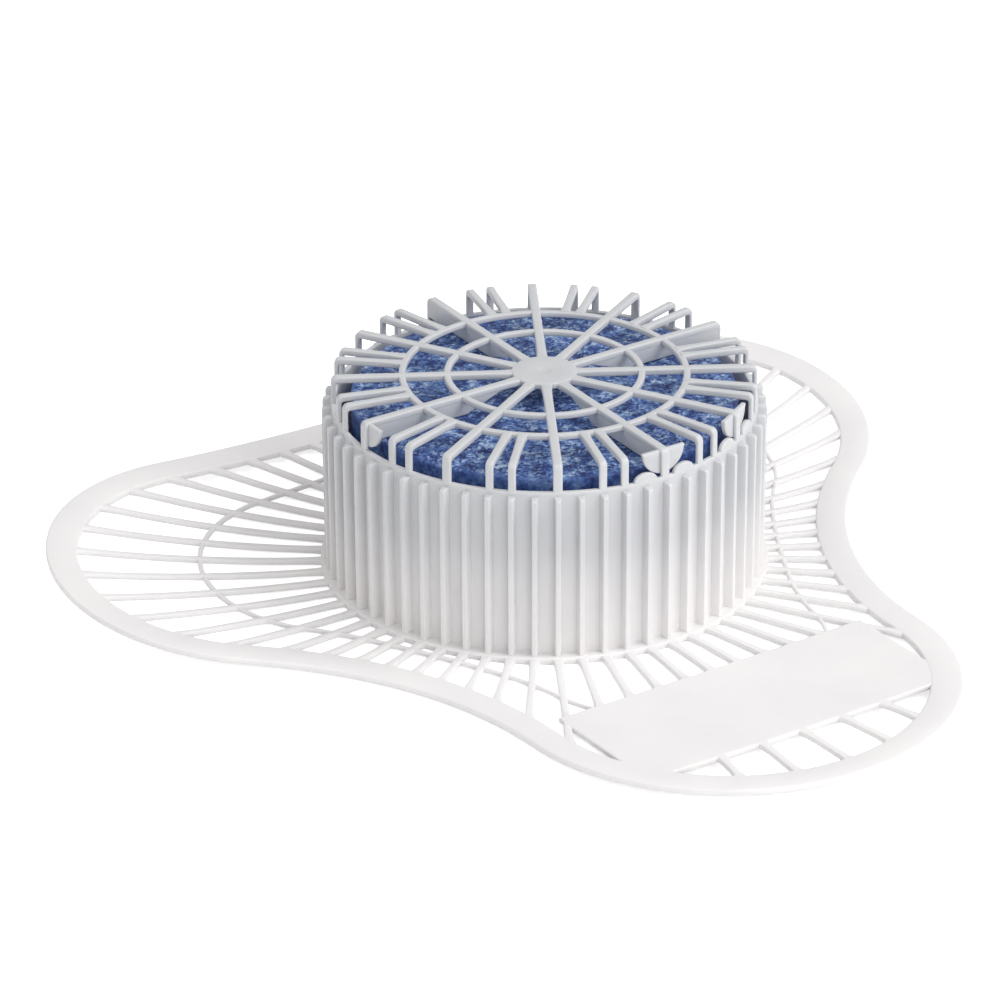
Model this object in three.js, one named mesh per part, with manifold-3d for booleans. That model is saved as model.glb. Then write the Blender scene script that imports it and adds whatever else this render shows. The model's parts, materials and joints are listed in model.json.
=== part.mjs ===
// Urinal deodorizer screen: a flexible moulded mat with a round ribbed cage that holds a deodorant block.
// Millimetres, +Z up. The origin is under the middle of the mat, at the level of the surface it lies on.
// The label panel points to -Y, and the part is the same on its +X and -X sides.
import * as THREE from 'three';
import { mergeVertices } from 'three/addons/utils/BufferGeometryUtils.js';
import Module from 'manifold-3d';

// The cage
const overallHeight = 43.5;
const cageRadius = 44.1;
const wallThickness = 1.1;
const rimDrop = 6.0;
const ribCount = 60;
const lidFacets = 40;
const hubFacets = 24;
const ribThickness = 1.3;
const ribDepth = 1.9;
const ribTopDrop = 1.0;
const ribCornerBevel = 0.7;
const flangeWidth = 2.8;

// The lid grille: twelve long arms from the hub, and two short arms from the outer ring between each two
const hubRadius = 6.8;
const hubThickness = 1.3;
const innerRingRadius = 20.8;
const outerRingRadius = 30.1;
const lidRingWidth = 1.5;
const lidRingDepth = 1.2;
const longArmWidth = 1.9;
const shortArmWidth = 1.6;
const armDepth = 1.4;
const armCornerBevel = 0.8;
const lidStep = 0.1;
const webTaperLength = 9.0;
const tabPlaces = [45, 50];
const halfTabPlaces = [30];
const tabWidth = 10.0;
const tabThickness = 1.0;
const tabHeight = 5.2;
const tabGap = 0.3;
const lipPlaces = [44, 46, 49, 51];
const lipWidth = 5.2;
const lipHeight = 1.7;

// The deodorant block and the lugs that carry it
const blockThickness = 22.0;
const blockDrop = 4.9;
const blockSideGap = 3.0;
const blockEdgeBevel = 0.5;
const seatGap = 0.3;
const lugReach = 1.2;
const lugHeight = 3.2;

// The mat outline: one lobe that carries the label panel, two back lobes, and round waists between them
const labelLobeRadius = 46.9;
const labelLobeDistance = 66.3;
const backLobeRadius = 45.7;
const backLobeSideDistance = 50.3;
const backLobeBackDistance = 29.7;
const waistRadius = 76.1;

// The mat's bars
const matThickness = 1.4;
const bandWidth = 6.5;
const spokeWidth = 1.8;
const spokeHeight = 1.1;
const midRingWidth = 1.1;
const midRingHeight = 0.8;
const midRingShare = 0.57;
const midRingInset = 2.4;
const sideCurl = 0.00118;
const curlLossAtLabel = 0.0007;
const bandEdgeBevel = 0.4;
const bandStations = 90;

// The bare label panel
const panelWidth = 74.0;
const panelLength = 31.2;
const panelTipGap = 14.7;
const panelThickness = 1.2;

// How far a bar runs into what it joins
const joinDepth = 1.0;

const ribPitch = 2 * Math.PI / ribCount;
const wallInnerRadius = cageRadius - wallThickness;
const flangeRadius = cageRadius + flangeWidth;
const rimHeight = overallHeight - rimDrop;
const armTop = overallHeight - lidStep;
const lidRingTop = armTop - lidStep;
const blockTop = overallHeight - blockDrop;
const blockBottom = blockTop - blockThickness;
const blockRadius = wallInnerRadius - blockSideGap;
const labelTip = labelLobeDistance + labelLobeRadius;
const backEdge = backLobeBackDistance + backLobeRadius;
const panelOuterEdge = labelTip - bandWidth - panelTipGap;
const panelInnerEdge = panelOuterEdge - panelLength;

const wasm = await Module();
wasm.setup();

// Turns a closed geometry into a solid, with its faces pointing out
function solidOf(geometry) {
  geometry.deleteAttribute('normal');
  geometry.deleteAttribute('uv');
  const merged = mergeVertices(geometry, 1e-4);
  const positions = new Float32Array(merged.attributes.position.array);
  const corners = new Uint32Array(merged.index.array);
  if (signedVolume(positions, corners) < 0) {
    corners.reverse();
  }
  return new wasm.Manifold(new wasm.Mesh({ numProp: 3, vertProperties: positions, triVerts: corners }));
}

// Six times the volume that the triangles enclose, negative where they face inward
function signedVolume(positions, corners) {
  const a = new THREE.Vector3();
  const b = new THREE.Vector3();
  const c = new THREE.Vector3();
  let total = 0;
  for (let i = 0; i < corners.length; i += 3) {
    a.fromArray(positions, 3 * corners[i]);
    b.fromArray(positions, 3 * corners[i + 1]);
    c.fromArray(positions, 3 * corners[i + 2]);
    total += a.dot(b.cross(c));
  }
  return total;
}

function joined(solids) {
  return solids.reduce((whole, solid) => whole.add(solid));
}

function geometryOf(solid) {
  const { vertProperties, triVerts } = solid.getMesh();
  const geometry = new THREE.BufferGeometry();
  geometry.setAttribute('position', new THREE.BufferAttribute(vertProperties, 3));
  geometry.setIndex(new THREE.BufferAttribute(triVerts, 1));
  geometry.computeVertexNormals();
  return geometry;
}

// Skins a row of sections with the same number of corners, as a loop or as a bar with flat ends
function skinned(sections, isLoop) {
  const corners = sections[0].length;
  const positions = sections.flat().flatMap((point) => point.toArray());
  const spans = isLoop ? sections.length : sections.length - 1;
  const index = [];
  for (let i = 0; i < spans; i += 1) {
    const here = i * corners;
    const there = ((i + 1) % sections.length) * corners;
    for (let j = 0; j < corners; j += 1) {
      const k = (j + 1) % corners;
      index.push(here + j, here + k, there + k);
      index.push(here + j, there + k, there + j);
    }
  }
  if (!isLoop) {
    const last = (sections.length - 1) * corners;
    for (let j = 1; j < corners - 1; j += 1) {
      index.push(0, j + 1, j);
      index.push(last, last + j, last + j + 1);
    }
  }
  const geometry = new THREE.BufferGeometry();
  geometry.setAttribute('position', new THREE.Float32BufferAttribute(positions, 3));
  geometry.setIndex(index);
  return geometry;
}

// Turns a profile of [radius, height] corners about the cage's axis
function turned(profile, facets) {
  const points = profile.map(([radius, height]) => new THREE.Vector2(radius, height));
  const geometry = new THREE.LatheGeometry(points, facets);
  geometry.rotateX(Math.PI / 2);
  return solidOf(geometry);
}

// Stands a flat plate on edge along a radius: the outline is in radius and height
function radialPlate(outline, thickness, angle) {
  const geometry = new THREE.ExtrudeGeometry(outline, { depth: thickness, bevelEnabled: false });
  geometry.translate(0, 0, -thickness / 2);
  geometry.rotateX(Math.PI / 2);
  geometry.rotateZ(angle);
  return solidOf(geometry);
}

// Stands a flat plate across a radius, between two distances: the outline is sideways and up
function acrossPlate(outline, inner, outer, angle) {
  const geometry = new THREE.ExtrudeGeometry(outline, { depth: outer - inner, bevelEnabled: false, curveSegments: 6 });
  geometry.rotateX(Math.PI / 2);
  geometry.rotateZ(Math.PI / 2);
  geometry.translate(inner, 0, 0);
  geometry.rotateZ(angle);
  return solidOf(geometry);
}

// The far, or the near, meeting of a ray from the cage's axis with a circle
function rayToCircle(direction, centre, radius, isNear) {
  const along = direction.dot(centre);
  const half = Math.sqrt(radius * radius - centre.lengthSq() + along * along);
  return isNear ? along - half : along + half;
}

// The outline's circles and the directions from lobe to waist, on the +X side, with the label toward -Y
const labelLobeCentre = new THREE.Vector2(0, -labelLobeDistance);
const backLobeCentre = new THREE.Vector2(backLobeSideDistance, backLobeBackDistance);
const waistCentre = meetingOfCircles(
  labelLobeCentre, labelLobeRadius + waistRadius, backLobeCentre, backLobeRadius + waistRadius);
const labelToWaist = waistCentre.clone().sub(labelLobeCentre).normalize();
const backToWaist = waistCentre.clone().sub(backLobeCentre).normalize();

// The outer of the two points that lie at the given distances from two centres
function meetingOfCircles(centreA, distanceA, centreB, distanceB) {
  const between = centreB.clone().sub(centreA);
  const gap = between.length();
  const along = (distanceA * distanceA - distanceB * distanceB + gap * gap) / (2 * gap);
  const across = Math.sqrt(distanceA * distanceA - along * along);
  const unit = between.divideScalar(gap);
  const sideways = new THREE.Vector2(unit.y, -unit.x);
  return centreA.clone().addScaledVector(unit, along).addScaledVector(sideways, across);
}

// The angle of a point from the label's direction
function angleFromLabel(point) {
  return Math.atan2(point.x, -point.y);
}

// How far the outline, moved inward by the inset, lies from the cage's axis at an angle from the label's direction
function outlineRadius(angle, inset) {
  const turn = Math.abs(Math.atan2(Math.sin(angle), Math.cos(angle)));
  const direction = new THREE.Vector2(Math.sin(turn), -Math.cos(turn));
  const labelEnd = labelLobeCentre.clone().addScaledVector(labelToWaist, labelLobeRadius - inset);
  const backStart = backLobeCentre.clone().addScaledVector(backToWaist, backLobeRadius - inset);
  const backEnd = new THREE.Vector2(backLobeSideDistance, backEdge - inset);
  if (turn <= angleFromLabel(labelEnd)) {
    return rayToCircle(direction, labelLobeCentre, labelLobeRadius - inset, false);
  }
  if (turn <= angleFromLabel(backStart)) {
    return rayToCircle(direction, waistCentre, waistRadius + inset, true);
  }
  if (turn <= angleFromLabel(backEnd)) {
    return rayToCircle(direction, backLobeCentre, backLobeRadius - inset, false);
  }
  return (backEdge - inset) / direction.y;
}

// The mat is flat under the cage and curls up toward its edge, least at the label and most at the back
function matPoint(radius, angle, height) {
  const curl = sideCurl - curlLossAtLabel * Math.cos(angle);
  const rise = curl * Math.max(radius - flangeRadius, 0) ** 2;
  return new THREE.Vector3(radius * Math.sin(angle), -radius * Math.cos(angle), height + rise);
}

function makeBand() {
  const sections = [];
  for (let i = 0; i < bandStations; i += 1) {
    const angle = i * 2 * Math.PI / bandStations;
    const outer = outlineRadius(angle, 0);
    const bevelled = outlineRadius(angle, bandEdgeBevel);
    const inner = outlineRadius(angle, bandWidth);
    sections.push([
      matPoint(outer, angle, 0),
      matPoint(outer, angle, matThickness - bandEdgeBevel),
      matPoint(bevelled, angle, matThickness),
      matPoint(inner, angle, matThickness),
      matPoint(inner, angle, 0),
    ]);
  }
  return solidOf(skinned(sections, true));
}

// A bar of the mat along a radius, with its underside a little above the band's
function makeSpoke(angle, startRadius, endRadius) {
  const stretch = 16;
  const steps = Math.max(1, Math.round((endRadius - startRadius) / stretch));
  const underside = (matThickness - spokeHeight) / 2;
  const side = new THREE.Vector3(Math.cos(angle), Math.sin(angle), 0).multiplyScalar(spokeWidth / 2);
  const sections = [];
  for (let i = 0; i <= steps; i += 1) {
    const radius = startRadius + (endRadius - startRadius) * i / steps;
    const low = matPoint(radius, angle, underside);
    const high = matPoint(radius, angle, underside + spokeHeight);
    sections.push([low.clone().sub(side), low.clone().add(side), high.clone().add(side), high.clone().sub(side)]);
  }
  return solidOf(skinned(sections, false));
}

// All spokes: those that meet the panel stop in it, and short ones go on where it leaves room before the band
function makeSpokes() {
  const spokes = [];
  const start = flangeRadius - joinDepth;
  for (let i = 0; i < ribCount; i += 1) {
    const angle = (i <= ribCount / 2 ? i : i - ribCount) * ribPitch;
    const end = outlineRadius(angle, bandWidth) + joinDepth;
    const panelRadius = panelInnerEdge / Math.cos(angle);
    const meetsPanel = Math.cos(angle) > 0 && Math.abs(panelRadius * Math.sin(angle)) < panelWidth / 2 - 2 * spokeWidth;
    if (!meetsPanel) {
      spokes.push(makeSpoke(angle, start, end));
      continue;
    }
    spokes.push(makeSpoke(angle, start, panelRadius + joinDepth));
    const farRadius = panelOuterEdge / Math.cos(angle);
    if (farRadius < outlineRadius(angle, bandWidth) - spokeWidth) {
      spokes.push(makeSpoke(angle, farRadius - joinDepth, end));
    }
  }
  return spokes;
}

// The thin ring part way out on the mat, which ends in the panel's inner corners
function makeMidRing() {
  const underside = (matThickness - midRingHeight) / 2;
  const sections = [];
  for (let i = 0; i <= ribCount; i += 1) {
    const angle = i * ribPitch;
    const middle = cageRadius - midRingInset + midRingShare * (outlineRadius(angle, bandWidth) - cageRadius);
    const isInPanel = Math.cos(angle) * middle > panelInnerEdge + joinDepth;
    if (isInPanel) {
      continue;
    }
    const inner = middle - midRingWidth / 2;
    const outer = middle + midRingWidth / 2;
    sections.push([
      matPoint(inner, angle, underside),
      matPoint(outer, angle, underside),
      matPoint(outer, angle, underside + midRingHeight),
      matPoint(inner, angle, underside + midRingHeight),
    ]);
  }
  return solidOf(skinned(sections, false));
}

// The panel is a plate on the mat's curve, and its outer corners end inside the band
function makePanel() {
  const rows = 4;
  const columns = 6;
  const underside = (matThickness - panelThickness) / 2;
  const sections = [];
  for (let i = 0; i <= columns; i += 1) {
    const across = panelWidth * (i / columns - 1 / 2);
    const section = [];
    for (let j = 0; j <= rows; j += 1) {
      section.push(panelPoint(across, panelInnerEdge + panelLength * j / rows, underside));
    }
    for (let j = rows; j >= 0; j -= 1) {
      section.push(panelPoint(across, panelInnerEdge + panelLength * j / rows, underside + panelThickness));
    }
    sections.push(section);
  }
  return solidOf(skinned(sections, false));
}

function panelPoint(across, outward, height) {
  let radius = Math.hypot(across, outward);
  const angle = Math.atan2(across, outward);
  radius = Math.min(radius, outlineRadius(angle, bandWidth / 2));
  return matPoint(radius, angle, height);
}

// The cage's wall and the flange at its foot, which is the part that lies flat
function makeWall() {
  return turned([
    [wallInnerRadius, 0],
    [flangeRadius, 0],
    [flangeRadius, matThickness],
    [cageRadius, matThickness],
    [cageRadius, rimHeight],
    [wallInnerRadius, rimHeight],
    [wallInnerRadius, 0],
  ], ribCount);
}

function makeRibs() {
  const root = cageRadius - wallThickness / 2;
  const face = cageRadius + ribDepth;
  const top = rimHeight - ribTopDrop;
  const outline = new THREE.Shape();
  outline.moveTo(root, matThickness / 2);
  outline.lineTo(face, matThickness / 2);
  outline.lineTo(face, top - ribCornerBevel);
  outline.lineTo(face - ribCornerBevel, top);
  outline.lineTo(root, top);
  outline.closePath();
  const ribs = [];
  for (let i = 0; i < ribCount; i += 1) {
    ribs.push(radialPlate(outline, ribThickness, i * ribPitch));
  }
  return ribs;
}

// An arm of the lid with its leg, which stands inside the wall's thickness on the rim
function armOutline(startRadius) {
  const legFace = cageRadius - lidStep;
  const legBack = wallInnerRadius + lidStep;
  const foot = rimHeight - joinDepth;
  const underside = armTop - armDepth;
  const outline = new THREE.Shape();
  outline.moveTo(startRadius, underside);
  outline.lineTo(legBack, underside);
  outline.lineTo(legBack, foot);
  outline.lineTo(legFace, foot);
  outline.lineTo(legFace, armTop - armCornerBevel);
  outline.lineTo(legFace - armCornerBevel, armTop);
  outline.lineTo(startRadius, armTop);
  outline.closePath();
  return outline;
}

// The deep web under four of the long arms, which keeps the block down and slopes up toward the hub
function webOutline() {
  const top = armTop - armDepth / 2;
  const bottom = blockTop + seatGap;
  const inner = innerRingRadius - lidRingWidth;
  const outer = cageRadius - wallThickness / 2;
  const outline = new THREE.Shape();
  outline.moveTo(inner - webTaperLength, top);
  outline.lineTo(inner, bottom);
  outline.lineTo(outer, bottom);
  outline.lineTo(outer, top);
  outline.closePath();
  return outline;
}

// A half-moon tab behind a long arm's leg, flat on top and round below, or only its half toward +angle
function makeTab(angle, sweep) {
  const top = armTop - tabGap;
  const shape = new THREE.Shape();
  shape.moveTo(0, top);
  shape.lineTo(tabWidth / 2, top);
  shape.ellipse(-tabWidth / 2, 0, tabWidth / 2, tabHeight, 0, -sweep, true);
  shape.closePath();
  const outer = wallInnerRadius + 2 * lidStep;
  return acrossPlate(shape, outer - tabThickness, outer, angle);
}

// A low crescent lip that stands on the rim beside a tab
function makeLip(angle) {
  const inner = wallInnerRadius + lidStep;
  const outer = cageRadius - lidStep;
  const shape = new THREE.Shape();
  shape.moveTo(-lipWidth / 2, rimHeight - joinDepth);
  shape.lineTo(lipWidth / 2, rimHeight - joinDepth);
  shape.lineTo(lipWidth / 2, rimHeight);
  shape.ellipse(-lipWidth / 2, 0, lipWidth / 2, lipHeight, 0, Math.PI, false);
  shape.closePath();
  return acrossPlate(shape, inner, outer, angle);
}

function makeLidRing(radius) {
  const inner = radius - lidRingWidth;
  const bottom = lidRingTop - lidRingDepth;
  const profile = [[inner, bottom], [radius, bottom], [radius, lidRingTop], [inner, lidRingTop], [inner, bottom]];
  return turned(profile, lidFacets);
}

function makeLid() {
  const longArm = armOutline(hubRadius - joinDepth);
  const shortArm = armOutline(outerRingRadius - lidRingWidth / 2);
  const web = webOutline();
  const hubBottom = overallHeight - hubThickness;
  const pieces = [
    turned([[0, hubBottom], [hubRadius, hubBottom], [hubRadius, overallHeight], [0, overallHeight]], hubFacets),
    makeLidRing(innerRingRadius),
    makeLidRing(outerRingRadius),
  ];
  for (let i = 0; i < ribCount; i += 1) {
    const angle = i * ribPitch;
    const place = i % 5;
    if (place === 0) {
      pieces.push(radialPlate(longArm, longArmWidth, angle));
    }
    if (place === 2 || place === 3) {
      pieces.push(radialPlate(shortArm, shortArmWidth, angle));
    }
    if (i % 15 === 0) {
      pieces.push(radialPlate(web, longArmWidth - lidStep, angle));
    }
    if (tabPlaces.includes(i)) {
      pieces.push(makeTab(angle, Math.PI));
    }
    if (halfTabPlaces.includes(i)) {
      pieces.push(makeTab(angle, Math.PI / 2));
    }
    if (lipPlaces.includes(i)) {
      pieces.push(makeLip(angle));
    }
  }
  return pieces;
}

// The lugs inside the wall that the block rests on, one under each long arm
function makeLugs() {
  const tip = blockRadius - lugReach;
  const top = blockBottom - seatGap;
  const root = cageRadius - wallThickness / 2;
  const outline = new THREE.Shape();
  outline.moveTo(root, top);
  outline.lineTo(tip, top);
  outline.lineTo(tip, top - lugHeight / 3);
  outline.lineTo(root, top - lugHeight);
  outline.closePath();
  const lugs = [];
  for (let i = 0; i < ribCount; i += 5) {
    lugs.push(radialPlate(outline, longArmWidth, i * ribPitch));
  }
  return lugs;
}

function makeScreen() {
  const solid = joined([
    makeWall(), ...makeRibs(), ...makeLid(), ...makeLugs(),
    makeBand(), ...makeSpokes(), makeMidRing(), makePanel(),
  ]);
  const material = new THREE.MeshStandardMaterial({ color: 0xeceaea, roughness: 0.42, metalness: 0 });
  const mesh = new THREE.Mesh(geometryOf(solid), material);
  mesh.name = 'screen';
  return mesh;
}

// The block is a plain round cake with bevelled edges
function makeBlock() {
  const solid = turned([
    [0, blockBottom],
    [blockRadius - blockEdgeBevel, blockBottom],
    [blockRadius, blockBottom + blockEdgeBevel],
    [blockRadius, blockTop - blockEdgeBevel],
    [blockRadius - blockEdgeBevel, blockTop],
    [0, blockTop],
  ], ribCount);
  const material = new THREE.MeshStandardMaterial({ color: 0x4a6aa8, roughness: 0.6, metalness: 0 });
  const mesh = new THREE.Mesh(geometryOf(solid), material);
  mesh.name = 'deodorant_block';
  return mesh;
}

const aroundCage = new THREE.Group();
aroundCage.position.y = (labelTip - backEdge) / 2;
aroundCage.add(makeScreen(), makeBlock());

const part = new THREE.Group();
part.add(aroundCage);

export default part;
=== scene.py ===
import json
import math

import bpy
import numpy as np
from bpy.props import FloatProperty, FloatVectorProperty, IntProperty, PointerProperty
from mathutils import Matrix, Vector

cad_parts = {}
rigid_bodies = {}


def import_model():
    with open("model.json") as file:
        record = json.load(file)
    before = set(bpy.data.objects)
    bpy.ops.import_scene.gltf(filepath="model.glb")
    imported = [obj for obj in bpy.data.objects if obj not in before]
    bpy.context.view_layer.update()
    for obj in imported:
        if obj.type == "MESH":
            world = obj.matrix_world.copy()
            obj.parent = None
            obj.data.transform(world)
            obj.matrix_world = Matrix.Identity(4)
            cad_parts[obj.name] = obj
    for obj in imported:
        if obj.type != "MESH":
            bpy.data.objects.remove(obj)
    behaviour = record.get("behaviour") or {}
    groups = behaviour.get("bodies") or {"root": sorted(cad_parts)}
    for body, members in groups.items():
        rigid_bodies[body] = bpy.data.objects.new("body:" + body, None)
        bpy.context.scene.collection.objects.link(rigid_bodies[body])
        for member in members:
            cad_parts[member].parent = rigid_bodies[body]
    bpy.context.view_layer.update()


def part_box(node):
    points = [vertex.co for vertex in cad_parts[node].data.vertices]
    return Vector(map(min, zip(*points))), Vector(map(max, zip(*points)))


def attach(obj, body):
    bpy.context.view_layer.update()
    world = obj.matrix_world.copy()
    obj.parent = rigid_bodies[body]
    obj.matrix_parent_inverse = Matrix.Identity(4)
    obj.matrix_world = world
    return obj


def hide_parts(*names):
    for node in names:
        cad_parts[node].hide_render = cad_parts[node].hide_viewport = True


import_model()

bl_info = {
    "name": "Deodorizer Screen",
    "version": (1, 0, 0),
    "blender": (4, 5, 0),
    "location": "View3D > Sidebar > Screen",
    "description": "Builds a moulded urinal deodorizer screen with its cage, grille lid and deodorant block",
    "category": "Add Mesh",
}

MM = 0.001
SCREEN_LOW, SCREEN_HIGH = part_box("screen")
BLOCK_LOW, BLOCK_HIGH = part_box("deodorant_block")

# The cage's axis goes through the middle of the block, and the label points to -Y
AXIS_Y = (BLOCK_LOW[1] + BLOCK_HIGH[1]) / 2
BLOCK_RADIUS = (BLOCK_HIGH[0] - BLOCK_LOW[0]) / 2
OVERALL_HEIGHT = SCREEN_HIGH[2]
LABEL_TIP = AXIS_Y - SCREEN_LOW[1]
BACK_EDGE = SCREEN_HIGH[1] - AXIS_Y


def length(name, millimetres, description):
    """A length property, given in millimetres and kept in metres."""
    return FloatProperty(name=name, description=description, default=millimetres * MM, min=0.0, unit='LENGTH')


def colour(name, red, green, blue, description):
    """A colour property, in linear light."""
    return FloatVectorProperty(
        name=name, description=description, default=(red, green, blue, 1.0), size=4, min=0.0, max=1.0,
        subtype='COLOR')


class CageSizes(bpy.types.PropertyGroup):
    """Sizes of the ribbed wall and the flange at its foot."""
    radius: length("Radius", 44.1, "Outer radius of the wall between its ribs")
    wall: length("Wall", 1.1, "Thickness of the wall")
    rim_drop: length("Rim drop", 6.0, "How far the rim lies below the lid's top")
    rib_depth: length("Rib depth", 1.9, "How far a rib stands out of the wall")
    rib_width: length("Rib width", 1.3, "Width of a rib")
    rib_top_drop: length("Rib top drop", 1.0, "How far a rib's flat top lies below the rim")
    rib_corner: length("Rib corner", 0.7, "Radius of a rib's outer top corner")
    flange_width: length("Flange width", 2.8, "How far the flange stands out of the wall")
    foot_fillet: length("Foot fillet", 0.5, "Radius between wall and flange")
    rib_count: IntProperty(
        name="Ribs", description="Number of ribs, and of bars in the mat", default=60, min=10)


class LidSizes(bpy.types.PropertyGroup):
    """Sizes of the grille lid."""
    hub_radius: length("Hub radius", 6.8, "Radius of the disc in the middle")
    hub_thickness: length("Hub thickness", 1.3, "Thickness of the disc")
    inner_ring: length("Inner ring", 20.8, "Outer radius of the inner ring")
    outer_ring: length("Outer ring", 30.1, "Outer radius of the outer ring")
    ring_width: length("Ring width", 1.5, "Width of each ring")
    ring_depth: length("Ring depth", 1.2, "Depth of each ring")
    long_arm: length("Long arm", 1.9, "Width of the arms that start at the hub")
    short_arm: length("Short arm", 1.6, "Width of the arms that start at the outer ring")
    arm_depth: length("Arm depth", 1.4, "Depth of an arm")
    corner: length("Corner", 1.2, "Radius at the top of a leg")
    step: length("Step", 0.1, "How far each level of the lid lies below the one before")
    web_taper: length("Web taper", 9.0, "Length over which a web slopes up inside the inner ring")
    tab_width: length("Tab width", 10.0, "Width of a half-moon tab")
    tab_height: length("Tab height", 5.2, "Height of a half-moon tab")
    tab_thickness: length("Tab thickness", 1.0, "Thickness of a half-moon tab")
    gap: length("Gap", 0.3, "Clearance at the tabs, and between the webs and the block")
    lip_width: length("Lip width", 5.2, "Width of a crescent lip on the rim beside a tab")
    lip_height: length("Lip height", 1.7, "Height of a crescent lip")
    join: length("Join", 1.0, "How far an arm or a lip runs into what it joins")


class MatSizes(bpy.types.PropertyGroup):
    """Sizes of the mat's outline, bars and panel."""
    label_radius: length("Label lobe radius", 46.9, "Radius of the lobe that carries the panel")
    back_radius: length("Back lobe radius", 45.7, "Radius of the two back lobes")
    back_side: length("Back lobe side distance", 50.3, "Sideways distance of a back lobe's centre")
    waist_radius: length("Waist radius", 76.1, "Radius of the hollow curve between two lobes")
    thickness: length("Thickness", 1.4, "Thickness of the band and the flange")
    band_width: length("Band width", 6.5, "Width of the band round the edge")
    edge: length("Edge", 0.42, "Radius of the band's edges")
    spoke_width: length("Bar width", 1.8, "Width of a radial bar at its foot")
    spoke_height: length("Bar height", 1.15, "Height of a radial bar")
    flare: length("Flare", 0.9, "How much a bar widens where it joins")
    ring_width: length("Middle ring width", 1.1, "Width of the thin ring part way out")
    ring_height: length("Middle ring height", 0.95, "Height of the thin ring part way out")
    ring_share: FloatProperty(
        name="Middle ring place", description="Place of the thin ring between the wall and the band",
        default=0.57, min=0.1, max=0.9, subtype='FACTOR')
    ring_inset: length("Middle ring inset", 2.4, "How far the thin ring is moved in from its place")
    side_curl: FloatProperty(
        name="Side curl", default=1.18, min=0.0,
        description="Rise at the sides for the square of the distance beyond the flange, in 1/m")
    curl_loss: FloatProperty(
        name="Curl loss", default=0.7, min=0.0,
        description="How much less the mat curls at the label, and more at the back, in 1/m")
    panel_width: length("Panel width", 74.0, "Width of the bare label panel")
    panel_length: length("Panel length", 31.2, "Length of the bare label panel")
    panel_gap: length("Panel gap", 14.7, "Distance from the panel to the band at the lobe's tip")
    panel_thickness: length("Panel thickness", 1.2, "Thickness of the bare label panel")
    join: length("Join", 1.0, "How far a bar runs into what it joins")


class BlockSizes(bpy.types.PropertyGroup):
    """Sizes of the pressed deodorant block and of the lugs that carry it."""
    bevel: length("Bevel", 0.5, "Radius of the block's edges")
    grain: length("Grain", 0.22, "Depth of the rough surface")
    grain_cell: length("Grain cell", 1.6, "Size of the lumps in the surface")
    lug_reach: length("Lug reach", 1.2, "How far a lug reaches under the block")
    lug_height: length("Lug height", 3.2, "Height of a lug at the wall")
    lug_width: length("Lug width", 1.9, "Width of a lug")


class FinishColours(bpy.types.PropertyGroup):
    """Colours of the plastic and of the block, in linear light. The wall and lid colours are the white plastic
    darkened with painted shade of the blue block behind them.
    """
    mat_plastic: colour("Mat plastic", 0.84, 0.82, 0.815, "Plastic that lies on the pale surface")
    # Painted shade: the wall's colour is the white plastic darkened as if by the block seen through it.
    wall_painted_shade: colour("Wall plastic", 0.66, 0.662, 0.675, "Plastic in front of the block")
    # Painted shade: the lid's colour is darker still, as if by the block seen through it.
    lid_painted_shade: colour("Lid plastic", 0.585, 0.592, 0.605, "Plastic of the lid")
    block_dark: colour("Block dark", 0.016, 0.030, 0.130, "Darkest blue of the block")
    block_blue: colour("Block blue", 0.045, 0.100, 0.340, "Main blue of the block")
    block_mid: colour("Block mid", 0.130, 0.235, 0.480, "Paler blue of the block")
    block_pale: colour("Block pale", 0.520, 0.640, 0.800, "White grains of the block")


class StageSettings(bpy.types.PropertyGroup):
    """Camera, lamps and floor."""
    lens: FloatProperty(
        name="Lens", description="Focal length for a 36 mm sensor", default=177.3, min=10.0, unit='CAMERA')
    camera_place: FloatVectorProperty(
        name="Camera place", description="Place of the camera from the cage's foot", size=3,
        default=(-0.5053, -0.7634, 0.4804), subtype='TRANSLATION')
    camera_turn: FloatVectorProperty(
        name="Camera turn", description="Turn of the camera about X, Y and Z", size=3,
        default=(math.radians(62.976), math.radians(0.248), math.radians(-33.047)), subtype='EULER')
    key_power: FloatProperty(
        name="Key light", description="Power of the large lamp", default=8.0, min=0.0, unit='POWER')
    fill_power: FloatProperty(
        name="Fill light", description="Power of the weak lamp", default=2.0, min=0.0, unit='POWER')
    front_power: FloatProperty(
        name="Front light", description="Power of the low front lamp", default=4.6, min=0.0, unit='POWER')
    world_strength: FloatProperty(
        name="Room light", description="Strength of the even light from all sides", default=0.5, min=0.0)
    floor_colour: colour("Floor colour", 0.90, 0.90, 0.90, "Colour of the floor")
    floor_glow: FloatProperty(
        name="Floor glow", default=0.6, min=0.0,
        description="How much white the camera sees added to the floor")


# Surfaces as grids of points

def grid_faces(rows, columns, wrap_rows=False, wrap_columns=False):
    """Quads between neighbours of a grid of rows by columns, joined round where a direction wraps."""
    row = np.arange(rows if wrap_rows else rows - 1)[:, None]
    column = np.arange(columns if wrap_columns else columns - 1)[None, :]
    next_row = (row + 1) % rows
    next_column = (column + 1) % columns
    here = row * columns + column
    beside = row * columns + next_column
    across = next_row * columns + next_column
    above = next_row * columns + column
    return np.stack([here, beside, across, above], axis=-1).reshape(-1, 4)


def make_mesh(name, points, quads, caps=()):
    """A closed mesh object from points, quads and end polygons, with all its faces turned outward."""
    mesh = bpy.data.meshes.new(name)
    mesh.from_pydata(points.reshape(-1, 3).tolist(), [], quads.tolist() + [list(cap) for cap in caps])
    mesh.validate()
    piece = bpy.data.objects.new(name, mesh)
    bpy.context.scene.collection.objects.link(piece)
    if enclosed_volume(mesh) < 0:
        mesh.flip_normals()
    return piece


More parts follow.
